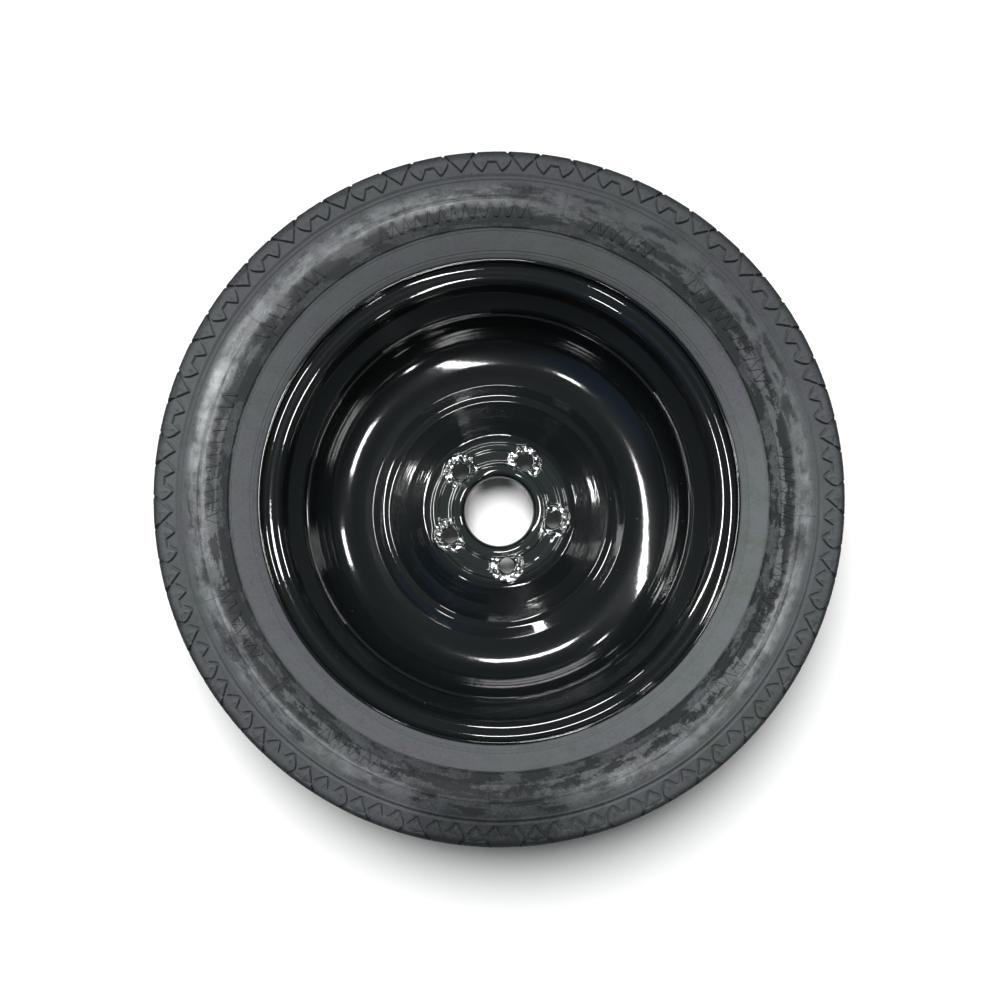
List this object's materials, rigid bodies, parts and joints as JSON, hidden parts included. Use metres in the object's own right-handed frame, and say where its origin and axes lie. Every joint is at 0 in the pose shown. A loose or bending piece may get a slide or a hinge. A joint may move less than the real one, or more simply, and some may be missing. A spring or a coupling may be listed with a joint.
{
  "type": "space saver spare wheel",
  "caption": "Narrow temporary spare wheel: a black pressed steel wheel with a deep bowl and raised hub pad, fitted with a slim tubeless tyre and a snap-in valve.",
  "frame": {"origin": "on the axle line, midway between the rim flanges", "axes": "+Z along the axle line towards the side that faces the brake, which lies upwards"},
  "size_m": [0.6492, 0.6492, 0.1344],
  "materials": {
    "tyre": "dusty matt rubber",
    "gloss_black_paint": "gloss black enamel",
    "valve_rubber": "smooth black rubber",
    "brass": "turned brass",
    "white_plastic": "smooth white seal plastic",
    "spring_steel": "drawn wire",
    "black_plastic": "satin moulded plastic"
  },
  "bodies": {
    "wheel": {"tyre": "tyre", "rim": "gloss_black_paint", "wheel_disc": "gloss_black_paint", "weld_seam_1": "gloss_black_paint", "weld_seam_2": "gloss_black_paint", "weld_seam_3": "gloss_black_paint", "weld_seam_4": "gloss_black_paint", "valve_rubber": "valve_rubber", "valve_stem": "brass", "core_housing": "brass", "core_gasket": "white_plastic", "core_spring": "spring_steel"},
    "pin": {"core_pin": "brass", "core_seal": "valve_rubber"},
    "cap_liner": {"cap_seal": "valve_rubber"},
    "cap": {"valve_cap": "black_plastic"}
  },
  "joints": [
    {"name": "core_pin_press", "type": "slide", "parent": "wheel", "child": "pin", "axis": [0.2883, 0.6475, 0.7054], "range_m": [0, 0.0012], "stiffness_N_per_m": 100, "springref_m": -0.002},
    {"name": "cap_lift", "type": "slide", "parent": "wheel", "child": "cap_liner", "axis": [-0.2883, -0.6475, -0.7054], "range_m": [0, 0.0075]},
    {"name": "cap_turn", "type": "hinge", "parent": "cap_liner", "child": "cap", "pos_m": [0.07849, 0.17629, -0.0249], "axis": [-0.2883, -0.6475, -0.7054], "range_deg": [0, 3402]}
  ],
  "couplings": [
    {"joint": "cap_turn", "follows": "cap_lift", "rad_per_m": 7916}
  ]
}
